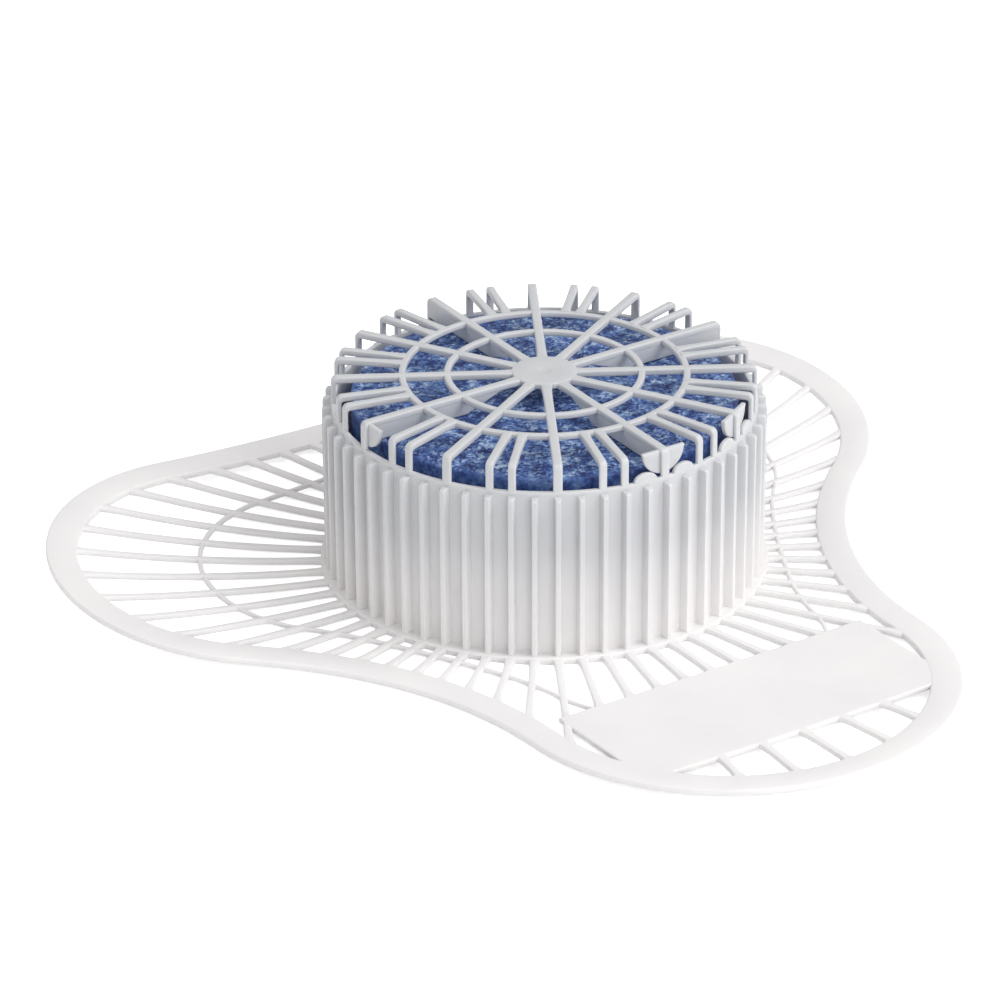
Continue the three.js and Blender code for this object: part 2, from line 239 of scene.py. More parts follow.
def enclosed_volume(mesh):
    """Volume inside a mesh: a sixth of the sum of its triangles' triple products, negative if inside out."""
    mesh.calc_loop_triangles()
    places = np.empty(3 * len(mesh.vertices))
    mesh.vertices.foreach_get("co", places)
    corners = np.empty(3 * len(mesh.loop_triangles), dtype=np.int32)
    mesh.loop_triangles.foreach_get("vertices", corners)
    a, b, c = places.reshape(-1, 3)[corners.reshape(-1, 3)].transpose(1, 0, 2)
    return float(np.einsum("ij,ij->", a, np.cross(b, c)) / 6)


def bars_mesh(name, points):
    """Closed bars from an array of (bar, station, section corner, xyz): skins with flat ends."""
    bars, stations, corners = points.shape[:3]
    one = grid_faces(stations, corners, wrap_columns=True)
    offsets = np.arange(bars)[:, None, None] * stations * corners
    quads = (one[None] + offsets).reshape(-1, 4)
    start = np.arange(corners)[::-1]
    end = np.arange(corners) + (stations - 1) * corners
    caps = [list(cap + bar * stations * corners) for bar in range(bars) for cap in (start, end)]
    return make_mesh(name, points, quads, caps)


def loop_mesh(name, points):
    """A closed ring from an array of (station, section corner, xyz)."""
    stations, corners = points.shape[:2]
    return make_mesh(name, points, grid_faces(stations, corners, wrap_rows=True, wrap_columns=True))


def place_round(radius, angle, height):
    """Points round the cage's axis: x = radius sin(angle from the label), y = axis - radius cos(angle)."""
    radius, angle, height = np.broadcast_arrays(radius, angle, height)
    return np.stack([radius * np.sin(angle), AXIS_Y - radius * np.cos(angle), height], axis=-1)


def rounded_outline(corners, radii, steps=4):
    """A closed outline whose corners become arcs: each arc touches both sides at the same distance."""
    corners = np.asarray(corners, dtype=float)
    before = np.roll(corners, 1, axis=0) - corners
    after = np.roll(corners, -1, axis=0) - corners
    pieces = []
    for corner, back, ahead, radius in zip(corners, before, after, radii):
        if radius == 0:
            pieces.append(corner[None])
            continue
        back = back / np.linalg.norm(back)
        ahead = ahead / np.linalg.norm(ahead)
        half = math.acos(float(np.clip(back @ ahead, -1, 1))) / 2
        middle = (back + ahead) / np.linalg.norm(back + ahead)
        centre = corner + middle * radius / math.sin(half)
        first = corner + back * radius / math.tan(half) - centre
        last = corner + ahead * radius / math.tan(half) - centre
        sweep = math.pi - 2 * half
        share = np.linspace(0, 1, steps + 1)[:, None]
        arc = (np.sin((1 - share) * sweep) * first + np.sin(share * sweep) * last) / math.sin(sweep)
        pieces.append(centre + arc)
    return np.concatenate(pieces)


def rounded_bar(width, height, radius, taper=0.0, steps=2):
    """A section with its middle at zero and its foot at height zero, narrower at the top by the taper."""
    half = width / 2
    corners = [(-half, 0), (half, 0), (half - taper / 2, height), (-half + taper / 2, height)]
    return rounded_outline(corners, [radius] * 4, steps)


def outline_normals(outline):
    """Unit vectors that point out of a closed outline, square to the line between both neighbours."""
    along = np.roll(outline, -1, axis=0) - np.roll(outline, 1, axis=0)
    normals = np.stack([along[:, 1], -along[:, 0]], axis=-1)
    normals /= np.linalg.norm(normals, axis=1, keepdims=True)
    x, y = outline.T
    area = np.sum(x * np.roll(y, -1) - np.roll(x, -1) * y)
    return normals if area > 0 else -normals


def plate_layers(outline, width, edge, steps=3):
    """A plate of the outline: (layer, corner, [along, up, across]), its edges quarter-round on both sides."""
    turn = np.linspace(0, math.pi / 2, steps + 1)
    inset = edge * (1 - np.sin(turn))
    reach = width / 2 - edge * (1 - np.cos(turn))
    inset = np.concatenate([inset, inset[::-1]])
    across = np.concatenate([-reach, reach[::-1]])
    flat = outline[None] - inset[:, None, None] * outline_normals(outline)[None]
    depth = np.broadcast_to(across[:, None, None], flat.shape[:2] + (1,))
    return np.concatenate([flat, depth], axis=-1)


def stand_radially(layers, angles, flare=None):
    """Stands a plate on edge along each angle: outline in radius and height, thickness sideways."""
    radius = layers[None, ..., 0]
    across = layers[None, ..., 2]
    if flare is not None:
        across = across * flare(radius)
    angle = np.asarray(angles)[:, None, None]
    x = radius * np.sin(angle) + across * np.cos(angle)
    y = AXIS_Y - radius * np.cos(angle) + across * np.sin(angle)
    z = np.broadcast_to(layers[None, ..., 1], x.shape)
    return np.stack([x, y, z], axis=-1)


def stand_across(layers, angles, radius):
    """Stands a plate across each angle at a radius: outline sideways and up, thickness outward."""
    outward = radius + layers[None, ..., 2]
    across = layers[None, ..., 0]
    angle = np.asarray(angles)[:, None, None]
    x = outward * np.sin(angle) + across * np.cos(angle)
    y = AXIS_Y - outward * np.cos(angle) + across * np.sin(angle)
    z = np.broadcast_to(layers[None, ..., 1], x.shape)
    return np.stack([x, y, z], axis=-1)


# The mat's outline

def ray_to_circle(direction, centre, radius, near):
    """Distance along a ray to a circle: the centre's share along the ray, less or plus half the chord."""
    along = direction @ centre
    half = np.sqrt(np.maximum(radius ** 2 - centre @ centre + along ** 2, 0))
    return along - half if near else along + half


def outline_radius(angle, inset, mat):
    """Distance from the cage's axis to the mat's edge, moved in by the inset, from circles and a line."""
    label_centre = np.array([0.0, mat.label_radius - LABEL_TIP])
    back_centre = np.array([mat.back_side, BACK_EDGE - mat.back_radius])
    between = back_centre - label_centre
    gap = np.linalg.norm(between)
    to_label = mat.label_radius + mat.waist_radius
    to_back = mat.back_radius + mat.waist_radius
    along = (to_label ** 2 - to_back ** 2 + gap ** 2) / (2 * gap)
    across = math.sqrt(to_label ** 2 - along ** 2)
    unit = between / gap
    waist_centre = label_centre + unit * along + np.array([unit[1], -unit[0]]) * across

    turn = np.abs(np.arctan2(np.sin(angle), np.cos(angle)))
    turn, inset = np.broadcast_arrays(turn, inset)
    direction = np.stack([np.sin(turn), -np.cos(turn)], axis=-1)

    def end_angle(centre, radius):
        """Angle from the label at which a lobe meets the waist."""
        way = (waist_centre - centre) / np.linalg.norm(waist_centre - centre)
        x = centre[0] + way[0] * (radius - inset)
        y = centre[1] + way[1] * (radius - inset)
        return np.arctan2(x, -y)

    back_end = np.arctan2(mat.back_side, -(BACK_EDGE - inset))
    label_lobe = ray_to_circle(direction, label_centre, mat.label_radius - inset, near=False)
    waist = ray_to_circle(direction, waist_centre, mat.waist_radius + inset, near=True)
    back_lobe = ray_to_circle(direction, back_centre, mat.back_radius - inset, near=False)
    line = (BACK_EDGE - inset) / np.maximum(direction[..., 1], 0.1)
    return np.select(
        [turn <= end_angle(label_centre, mat.label_radius), turn <= end_angle(back_centre, mat.back_radius),
         turn <= back_end],
        [label_lobe, waist, back_lobe], line)


def mat_rise(radius, angle, cage, mat):
    """Rise of the mat: (side curl - loss cos(angle from the label)) x (distance beyond the flange)^2."""
    beyond = np.maximum(radius - cage.radius - cage.flange_width, 0)
    return (mat.side_curl - mat.curl_loss * np.cos(angle)) * beyond ** 2


def on_mat(radius, angle, height, cage, mat):
    """Points of the mat at a height above its underside."""
    return place_round(radius, angle, height + mat_rise(radius, angle, cage, mat))


def band_points(cage, mat, stations=360):
    """The band: a rounded strip section carried round the outline."""
    section = rounded_outline(
        [(0, 0), (0, mat.thickness), (mat.band_width, mat.thickness), (mat.band_width, 0)],
        [mat.edge / 2, mat.edge, mat.edge, mat.edge / 2], 3)
    angle = np.linspace(0, 2 * math.pi, stations, endpoint=False)[:, None]
    radius = outline_radius(angle, section[None, :, 0], mat)
    return on_mat(radius, angle, section[None, :, 1], cage, mat)


def spoke_points(angles, starts, ends, cage, mat, stations=15):
    """Radial bars: a soft trapezoid carried outward, wider near both ends."""
    section = rounded_bar(mat.spoke_width, mat.spoke_height, 0.3 * MM, taper=0.35 * MM)
    share = (1 - np.cos(np.linspace(0, math.pi, stations))) / 2
    starts = np.asarray(starts)[:, None, None]
    ends = np.asarray(ends)[:, None, None]
    radius = starts + (ends - starts) * share[None, :, None]
    reach = 1.3 * MM
    from_start = np.maximum(radius - starts - mat.join, 0)
    to_end = np.maximum(ends - mat.join - radius, 0)
    widening = 1 + mat.flare / mat.spoke_width * (np.exp(-from_start / reach) + np.exp(-to_end / reach))
    across = section[None, None, :, 0] * widening
    foot = (mat.thickness - mat.spoke_height) / 2
    angle = np.asarray(angles)[:, None, None]
    rise = mat_rise(radius, angle, cage, mat)
    x = radius * np.sin(angle) + across * np.cos(angle)
    y = AXIS_Y - radius * np.cos(angle) + across * np.sin(angle)
    z = np.broadcast_to(foot + section[None, None, :, 1] + rise, x.shape)
    return np.stack([x, y, z], axis=-1)


def panel_edges(mat):
    """Distances of the panel's inner and outer edges from the cage's axis."""
    outer = LABEL_TIP - mat.band_width - mat.panel_gap
    return outer - mat.panel_length, outer


def spoke_spans(cage, mat):
    """Angle, start and end of every bar: some stop in the panel, and short ones go on beyond it."""
    pitch = 2 * math.pi / cage.rib_count
    inner_edge, outer_edge = panel_edges(mat)
    start = cage.radius + cage.flange_width - mat.join
    spans = []
    for index in range(cage.rib_count):
        angle = (index - cage.rib_count // 2) * pitch
        band = float(outline_radius(angle, mat.band_width, mat))
        to_panel = inner_edge / math.cos(angle) if math.cos(angle) > 0.1 else math.inf
        if abs(to_panel * math.sin(angle)) >= mat.panel_width / 2 - 2 * mat.spoke_width:
            spans.append((angle, start, band + mat.join))
            continue
        spans.append((angle, start, to_panel + mat.join))
        from_panel = outer_edge / math.cos(angle)
        if from_panel < band - mat.spoke_width:
            spans.append((angle, from_panel - mat.join, band + mat.join))
    return np.array(spans)


def middle_ring_points(cage, mat, stations=300):
    """The thin ring: a small rounded section at a share of the way out less an inset, panel to panel."""
    section = rounded_bar(mat.ring_width, mat.ring_height, 0.25 * MM, taper=0.2 * MM)

    def middle_radius(angle):
        """Radius of the ring's middle."""
        to_band = outline_radius(angle, mat.band_width, mat) - cage.radius
        return cage.radius - mat.ring_inset + mat.ring_share * to_band

    angle = np.linspace(0, 2 * math.pi, 4 * stations)
    outside = angle[np.cos(angle) * middle_radius(angle) < panel_edges(mat)[0] + mat.join]
    angle = np.linspace(outside[0], outside[-1], stations)[:, None]
    middle = middle_radius(angle)
    foot = (mat.thickness - mat.ring_height) / 2
    return on_mat(middle + section[None, :, 0], angle, foot + section[None, :, 1], cage, mat)[None]


def panel_points(cage, mat, rows=24, columns=40):
    """The bare panel: a rounded slab section carried sideways on the mat's curve, held inside the band."""
    inner_edge, outer_edge = panel_edges(mat)
    radius = 0.35 * MM
    foot = (mat.thickness - mat.panel_thickness) / 2
    top = foot + mat.panel_thickness
    corners = [(inner_edge, foot), (outer_edge, foot), (outer_edge, top), (inner_edge, top)]
    flat = rounded_outline(corners, [radius] * 4, 3)
    low = [(x, foot) for x in np.linspace(inner_edge + 2 * radius, outer_edge - 2 * radius, rows)]
    high = [(x, top) for x in np.linspace(outer_edge - 2 * radius, inner_edge + 2 * radius, rows)]
    quarter = len(flat) // 4
    section = np.concatenate([flat[:quarter], low, flat[quarter:3 * quarter], high, flat[3 * quarter:]])
    normals = outline_normals(section)
    turn = np.linspace(0, math.pi / 2, 4)
    half = mat.panel_width / 2
    end_inset = radius * (1 - np.sin(turn))
    inset = np.concatenate([end_inset, np.zeros(columns), end_inset[::-1]])
    across = np.concatenate([
        -half + radius * (1 - np.cos(turn)),
        np.linspace(-half + 2 * radius, half - 2 * radius, columns),
        half - radius * (1 - np.cos(turn[::-1]))])
    outward = section[None, :, 0] - inset[:, None] * normals[None, :, 0]
    height = section[None, :, 1] - inset[:, None] * normals[None, :, 1]
    sideways = np.broadcast_to(across[:, None], outward.shape)
    angle = np.arctan2(sideways, outward)
    distance = np.minimum(np.hypot(sideways, outward), outline_radius(angle, mat.band_width / 2, mat))
    return on_mat(distance, angle, height, cage, mat)[None]


# The cage

def rib_share(sideways, width):
    """A rib's height beside its middle, as a share: full on its face, then 1 - t^2 (3 - 2t) to its foot."""
    face = width * 0.36
    foot = width * 0.62
    fall = np.clip((np.abs(sideways) - face) / (foot - face), 0, 1)
    return 1 - fall * fall * (3 - 2 * fall)


def wall_points(cage, mat):
    """The wall, ribs and flange: one closed section carried round, its outer side pushed out at each rib."""
    half_pitch = math.pi * cage.radius / cage.rib_count
    side = np.array([0.32, 0.44, 0.52, 0.60, 0.80]) * cage.rib_width
    offsets = np.concatenate([-side[::-1], [0.0], side, [half_pitch]])
    middles = np.arange(cage.rib_count) * 2 * math.pi / cage.rib_count
    angle = (middles[:, None] + offsets[None] / cage.radius).reshape(-1, 1)
    sideways = np.tile(offsets, cage.rib_count)[:, None]

    rim = OVERALL_HEIGHT - cage.rim_drop
    inner = cage.radius - cage.wall
    flange = cage.radius + cage.flange_width
    rib_top = rim - cage.rib_top_drop
    foot = mat.thickness + cage.foot_fillet
    edge = 0.4 * MM
    foot_corners = [(inner, 0), (flange, 0), (flange, mat.thickness)]
    outer_edge = rounded_outline(foot_corners, [0, 0.25 * MM, edge], 3)[:-4]
    turn = np.linspace(0, math.pi / 2, 5)
    edge_top = np.stack([
        flange - edge * (1 - np.cos(turn)), mat.thickness - edge * (1 - np.sin(turn))], -1)
    fillet = np.stack([
        cage.radius + cage.foot_fillet * (1 - np.sin(turn)),
        mat.thickness + cage.foot_fillet * (1 - np.cos(turn))], -1)
    climb = np.concatenate([
        np.linspace(foot, rib_top - cage.rib_corner, 9)[1:],
        rib_top - cage.rib_corner * (1 - np.sin(turn))[1:], rib_top + np.array([0.02, 0.04]) * MM])
    face_stand = np.concatenate([
        np.full(8, cage.rib_depth), cage.rib_depth - cage.rib_corner * (1 - np.cos(turn))[1:],
        np.array([0.5, 0]) * (cage.rib_depth - cage.rib_corner)])
    face = np.stack([np.full(climb.size, cage.radius), climb], -1)
    rim_edge = 0.35 * MM
    round_rim = np.stack([
        cage.radius - rim_edge * (1 - np.cos(turn)), rim - rim_edge * (1 - np.sin(turn))], -1)
    round_back = np.stack([
        inner + rim_edge * (1 - np.sin(turn)), rim - rim_edge * (1 - np.cos(turn))], -1)
    back = np.stack([np.full(4, inner), np.linspace(rim - 2 * MM, 2 * MM, 4)], -1)
    section = np.concatenate([outer_edge, edge_top, fillet, face, round_rim, round_back, back])

    stand = np.concatenate([
        np.zeros(len(outer_edge) + len(edge_top)), np.full(len(fillet), cage.rib_depth), face_stand,
        np.zeros(len(round_rim) + len(round_back) + len(back))])
    proud = cage.radius + stand[None] * rib_share(sideways, cage.rib_width)
    radius = np.where(stand[None] > 0, np.maximum(section[None, :, 0], proud), section[None, :, 0])
    return place_round(radius, angle, section[None, :, 1])


def lug_points(cage, block, lid):
    """The lugs under the block: plates with a level top and a sloping underside."""
    top = BLOCK_LOW[2] - lid.gap
    root = cage.radius - cage.wall / 2
    tip = BLOCK_RADIUS - block.lug_reach
    outline = rounded_outline(
        [(root, top), (tip, top), (tip, top - block.lug_height / 3), (root, top - block.lug_height)],
        [0, 0.3 * MM, 0.3 * MM, 0], 3)
    layers = plate_layers(outline, block.lug_width, 0.25 * MM)
    return stand_radially(layers, np.arange(12) * math.pi / 6)


# The lid

def hub_mesh(name, lid):
    """The hub: a turned disc with soft edges and a shallow dimple in the middle of its top."""
    top = OVERALL_HEIGHT
    bottom = top - lid.hub_thickness
    turn = np.linspace(0, math.pi / 2, 4)
    edge = 0.3 * MM
    dimple_radius = 1.3 * MM
    dimple_depth = 0.15 * MM
    radius = np.concatenate([
        [dimple_radius * 0.6, dimple_radius * 0.85, dimple_radius, dimple_radius * 1.2, lid.hub_radius * 0.6],
        lid.hub_radius - edge * (1 - np.sin(turn)), lid.hub_radius - edge * (1 - np.cos(turn)),
        [lid.hub_radius * 0.6, dimple_radius]])
    height = np.concatenate([
        [top - dimple_depth, top - dimple_depth * 0.9, top - dimple_depth * 0.3, top, top],
        top - edge * (1 - np.cos(turn)), bottom + edge * (1 - np.sin(turn)),
        [bottom, bottom]])
    angle = np.linspace(0, 2 * math.pi, 96, endpoint=False)
    return bars_mesh(name, place_round(radius[:, None], angle[None], height[:, None])[None])


def lid_ring_points(outer_radius, lid, stations=180):
    """A ring of the lid: a rounded section carried round a circle."""
    section = rounded_bar(lid.ring_width, lid.ring_depth, 0.3 * MM, taper=0.15 * MM, steps=3)
    angle = np.linspace(0, 2 * math.pi, stations, endpoint=False)[:, None]
    bottom = OVERALL_HEIGHT - 2 * lid.step - lid.ring_depth
    radius = outer_radius - lid.ring_width / 2 + section[None, :, 0]
    return place_round(radius, angle, bottom + section[None, :, 1])


def arm_points(start, width, angles, cage, lid):
    """Arms with legs: an angle-shaped plate with soft edges, rounded at its outer top corner."""
    top = OVERALL_HEIGHT - lid.step
    underside = top - lid.arm_depth
    leg_face = cage.radius - lid.step
    leg_back = cage.radius - cage.wall + lid.step
    foot = OVERALL_HEIGHT - cage.rim_drop - lid.join
    corners = [
        (start, underside), (leg_back, underside), (leg_back, foot),
        (leg_face, foot), (leg_face, top), (start, top)]
    outline = rounded_outline(corners, [0, 0.5 * MM, 0, 0, lid.corner, 0], 5)
    beyond = np.linspace(start, leg_back - 1.5 * MM, 12)[1:-1]
    upper = np.stack([beyond[::-1], np.full(beyond.size, top)], -1)
    lower = np.stack([beyond, np.full(beyond.size, underside)], -1)
    outline = np.concatenate([outline[:1], lower, outline[1:-1], upper, outline[-1:]])
    layers = plate_layers(outline, width, 0.32 * MM)

    def flare(radius):
        """Wider by up to a third where the arm leaves what carries it."""
        return 1 + 0.35 * np.exp(-np.maximum(radius - start - lid.join, 0) / (1.2 * MM))

    return stand_radially(layers, angles, flare)


def web_points(angles, cage, lid):
    """The deep webs: they run just above the block and slope up toward the hub."""
    top = OVERALL_HEIGHT - lid.step - lid.arm_depth / 2
    bottom = BLOCK_HIGH[2] + lid.gap
    inner = lid.inner_ring - lid.ring_width
    outer = cage.radius - cage.wall / 2
    corners = [(inner - lid.web_taper, top), (inner, bottom), (outer, bottom), (outer, top)]
    outline = rounded_outline(corners, [0, 1.0 * MM, 0, 0], 4)
    return stand_radially(plate_layers(outline, lid.long_arm - lid.step, 0.25 * MM), angles)


def tab_points(angles, sweep, cage, lid):
    """The tabs: an ellipse's lower arc over the sweep, hanging from a level top across the end of an arm."""
    top = OVERALL_HEIGHT - lid.step - lid.gap
    turn = np.linspace(0, sweep, 25)
    outline = np.stack([lid.tab_width / 2 * np.cos(turn), top - lid.tab_height * np.sin(turn)], -1)
    if sweep < math.pi:
        outline = np.concatenate([outline, [[0.0, top]]])
    radius = cage.radius - cage.wall + lid.step * 2 - lid.tab_thickness / 2
    return stand_across(plate_layers(outline, lid.tab_thickness, 0.25 * MM), angles, radius)


def lip_points(angles, cage, lid):
    """The crescent lips: the upper half of an ellipse that stands on the rim."""
    rim = OVERALL_HEIGHT - cage.rim_drop
    turn = np.linspace(0, math.pi, 17)
    arc = np.stack([lid.lip_width / 2 * np.cos(turn), rim + lid.lip_height * np.sin(turn)], -1)
    foot = [[-lid.lip_width / 2, rim - lid.join], [lid.lip_width / 2, rim - lid.join]]
    layers = plate_layers(np.concatenate([arc, foot]), cage.wall - 2 * lid.step, 0.2 * MM)
    return stand_across(layers, angles, cage.radius - cage.wall / 2)


# The deodorant block

def lattice_noise(points, cell, seed):
    """Smooth noise: random values at the corners of a cubic lattice, blended by cubic weights."""
    scaled = points / cell
    base = np.floor(scaled).astype(np.int64)
    part = scaled - base
    part = part * part * (3 - 2 * part)
    total = np.zeros(points.shape[:-1])
    for corner in np.ndindex(2, 2, 2):
        lattice = base + np.array(corner)
        mixed = (lattice * np.array([73856093, 19349663, 83492791])).sum(axis=-1) + seed * 2654435761
        mixed = (mixed ^ (mixed >> 13)) * 1274126177
        value = ((mixed ^ (mixed >> 16)) & 0xFFFF) / 0xFFFF
        weight = np.prod(np.where(np.array(corner) == 1, part, 1 - part), axis=-1)
        total += weight * value
    return total


def block_surface(block):
    """The cake: a turned profile with round edges, sunk by up to the grain's depth where the noise is low."""
    turn = np.linspace(0, math.pi / 2, 7)
    top = BLOCK_HIGH[2]
    bottom = BLOCK_LOW[2]
    reach = BLOCK_RADIUS - block.bevel
    flat = np.linspace(1.0 * MM, reach, 60)[:-1]
    radius = np.concatenate([
        flat, reach + block.bevel * np.sin(turn), np.full(24, BLOCK_RADIUS),
        reach + block.bevel * np.cos(turn), flat[::-1]])
    height = np.concatenate([
        np.full(flat.size, top), top - block.bevel * (1 - np.cos(turn)),
        np.linspace(top - block.bevel, bottom + block.bevel, 26)[1:-1],
        bottom + block.bevel * (1 - np.sin(turn)), np.full(flat.size, bottom)])
    columns = 320
    angle = np.linspace(0, 2 * math.pi, columns, endpoint=False)
    points = place_round(radius[:, None], angle[None], height[:, None])
    coarse = lattice_noise(points, 2.6 * block.grain_cell, 3)
    fine = lattice_noise(points, block.grain_cell, 7)
    finest = lattice_noise(points, 0.45 * block.grain_cell, 11)
    sunk = block.grain * np.clip(1.1 - (0.8 * coarse + 0.8 * fine + 0.5 * finest), 0, 1)
    shrunk = radius[:, None] * (1 - sunk / BLOCK_RADIUS)
    middle = (top + bottom) / 2
    lowered = middle + (height[:, None] - middle) * (1 - sunk / (top - middle))
    return place_round(shrunk, angle[None], lowered)


# Materials

def new_material(name):
    """An empty node material with its output and a principled shader, as (material, nodes, links, shader)."""
    material = bpy.data.materials.new(name)
    material.use_nodes = True
    nodes = material.node_tree.nodes
    return material, nodes, material.node_tree.links, nodes["Principled BSDF"]


def noise_node(nodes, links, coordinates, scale, detail, roughness):
    """A noise texture on the given coordinates."""
    node = nodes.new("ShaderNodeTexNoise")
    node.inputs["Scale"].default_value = scale
    node.inputs["Detail"].default_value = detail
    node.inputs["Roughness"].default_value = roughness
    links.new(coordinates, node.inputs["Vector"])
    return node


def ramp_node(nodes, links, value, stops):
    """A colour ramp through the given (place, colour) stops."""
    node = nodes.new("ShaderNodeValToRGB")
    elements = node.color_ramp.elements
    elements[0].position, elements[0].color = stops[0]
    elements[1].position, elements[1].color = stops[-1]
    for place, shade in stops[1:-1]:
        element = elements.new(place)
        element.color = shade
    links.new(value, node.inputs["Fac"])
    return node


def bump_node(nodes, links, height, strength, distance):
    """A bump from a height value."""
    node = nodes.new("ShaderNodeBump")
    node.inputs["Strength"].default_value = strength
    node.inputs["Distance"].default_value = distance
    links.new(height, node.inputs["Height"])
    return node


def mix_node(nodes, links, kind, factor, first, second):
    """A colour mix of two outputs by a factor, which is a number or an output."""
    node = nodes.new("ShaderNodeMix")
    node.data_type = 'RGBA'
    node.blend_type = kind
    if isinstance(factor, float):
        node.inputs["Factor"].default_value = factor
    else:
        links.new(factor, node.inputs["Factor"])
    links.new(first, node.inputs["A"])
    links.new(second, node.inputs["B"])
    return node


def plastic_material(finish):
    """Soft white plastic with painted light by height: paler at the mat, then painted shade, darker where the
    wall stands before the block and over the lid, faintly streaked.
    """
    material, nodes, links, shader = new_material("white_plastic_painted_shade")
    place = nodes.new("ShaderNodeTexCoord").outputs["Object"]
    split = nodes.new("ShaderNodeSeparateXYZ")
    links.new(place, split.inputs["Vector"])
    share = nodes.new("ShaderNodeMapRange")
    share.inputs["From Min"].default_value = 0.0
    share.inputs["From Max"].default_value = OVERALL_HEIGHT
    links.new(split.outputs["Z"], share.inputs["Value"])

    mat_shade = tuple(finish.mat_plastic)
    wall_colour_painted_shade = tuple(finish.wall_painted_shade)
    lid_colour_painted_shade = tuple(finish.lid_painted_shade)
    # Painted light: the foot's colour, between the mat and the wall, stands for bounce light low on the wall;
    # the rim's colour is painted shade between wall and lid.
    foot_painted_light = tuple((a + b) / 2 for a, b in zip(mat_shade, wall_colour_painted_shade))
    rim_painted_shade = tuple((a + b) / 2 for a, b in zip(wall_colour_painted_shade, lid_colour_painted_shade))
    # Painted light by height: the mat's own pale colour at the bottom, then painted shade of the block seen
    # through the wall and lid, growing upward.
    ramp = ramp_node(nodes, links, share.outputs["Result"], [
        (0.12, mat_shade), (0.38, foot_painted_light), (0.56, wall_colour_painted_shade), (0.84, rim_painted_shade), (0.95, lid_colour_painted_shade)])
    flow = noise_node(nodes, links, place, 45.0, 3.0, 0.55)
    tint = ramp_node(nodes, links, flow.outputs["Fac"], [(0.3, (0.94, 0.945, 0.955, 1)), (0.7, (1, 1, 1, 1))])
    blend = mix_node(nodes, links, 'MULTIPLY', 1.0, ramp.outputs["Color"], tint.outputs["Color"])
    links.new(blend.outputs["Result"], shader.inputs["Base Color"])

    grain = noise_node(nodes, links, place, 900.0, 2.0, 0.5)
    gloss = nodes.new("ShaderNodeMapRange")
    gloss.inputs["To Min"].default_value = 0.36
    gloss.inputs["To Max"].default_value = 0.5
    links.new(grain.outputs["Fac"], gloss.inputs["Value"])
    links.new(gloss.outputs["Result"], shader.inputs["Roughness"])
    bump = bump_node(nodes, links, grain.outputs["Fac"], 0.12, 0.0002)
    links.new(bump.outputs["Normal"], shader.inputs["Normal"])
    shader.inputs["IOR"].default_value = 1.48
    shader.inputs["Specular IOR Level"].default_value = 0.4
    shader.inputs["Subsurface Weight"].default_value = 0.35
    shader.inputs["Subsurface Radius"].default_value = (1.0, 1.0, 1.0)
    shader.inputs["Subsurface Scale"].default_value = 0.0015
    return material


def block_material(finish):
    """Pressed blue cake: crisp grains of navy, blue and white on the top, and a smoother blue side."""
    material, nodes, links, shader = new_material("pressed_blue_block")
    place = nodes.new("ShaderNodeTexCoord").outputs["Object"]
    wobble = noise_node(nodes, links, place, 700.0, 3.0, 0.6)
    shift = nodes.new("ShaderNodeVectorMath")
    shift.operation = 'MULTIPLY_ADD'
    shift.inputs[1].default_value = (0.0022, 0.0022, 0.0022)
    links.new(wobble.outputs["Color"], shift.inputs[0])
    links.new(place, shift.inputs[2])
    grains = nodes.new("ShaderNodeTexVoronoi")
    grains.inputs["Scale"].default_value = 1500.0
    links.new(shift.outputs["Vector"], grains.inputs["Vector"])
    pick = nodes.new("ShaderNodeSeparateXYZ")
    links.new(grains.outputs["Color"], pick.inputs["Vector"])
    patches = noise_node(nodes, links, place, 330.0, 6.0, 0.72)
    weight = nodes.new("ShaderNodeMath")
    weight.operation = 'MULTIPLY_ADD'
    weight.inputs[1].default_value = 3.2
    links.new(patches.outputs["Fac"], weight.inputs[0])
    links.new(pick.outputs["X"], weight.inputs[2])
    scale = nodes.new("ShaderNodeMapRange")
    scale.inputs["From Min"].default_value = 0.95
    scale.inputs["From Max"].default_value = 3.25
    links.new(weight.outputs["Value"], scale.inputs["Value"])
    ramp = ramp_node(nodes, links, scale.outputs["Result"], [
        (0.30, tuple(finish.block_dark)), (0.43, tuple(finish.block_blue)), (0.60, tuple(finish.block_mid)),
        (0.82, tuple(finish.block_pale))])

    from_axis = nodes.new("ShaderNodeVectorMath")
    from_axis.operation = 'MULTIPLY_ADD'
    from_axis.inputs[1].default_value = (1, 1, 0)
    from_axis.inputs[2].default_value = (0, -AXIS_Y, 0)
    links.new(place, from_axis.inputs[0])
    reach = nodes.new("ShaderNodeVectorMath")
    reach.operation = 'LENGTH'
    links.new(from_axis.outputs["Vector"], reach.inputs[0])
    side = nodes.new("ShaderNodeMapRange")
    side.inputs["From Min"].default_value = BLOCK_RADIUS - 0.9 * MM
    side.inputs["From Max"].default_value = BLOCK_RADIUS - 0.3 * MM
    side.inputs["To Max"].default_value = 0.75
    links.new(reach.outputs["Value"], side.inputs["Value"])
    plain_side = ramp_node(nodes, links, patches.outputs["Fac"], [
        (0.34, tuple(finish.block_dark)), (0.46, tuple(finish.block_blue)), (0.68, tuple(finish.block_mid))])
    blend = mix_node(
        nodes, links, 'MIX', side.outputs["Result"], ramp.outputs["Color"], plain_side.outputs["Color"])
    links.new(blend.outputs["Result"], shader.inputs["Base Color"])
    pits = noise_node(nodes, links, place, 620.0, 4.0, 0.7)
    bump = bump_node(nodes, links, pits.outputs["Fac"], 0.5, 0.0005)
    links.new(bump.outputs["Normal"], shader.inputs["Normal"])
    gloss = nodes.new("ShaderNodeMapRange")
    gloss.inputs["To Min"].default_value = 0.4
    gloss.inputs["To Max"].default_value = 0.7
    links.new(pits.outputs["Fac"], gloss.inputs["Value"])
    links.new(gloss.outputs["Result"], shader.inputs["Roughness"])
    return material


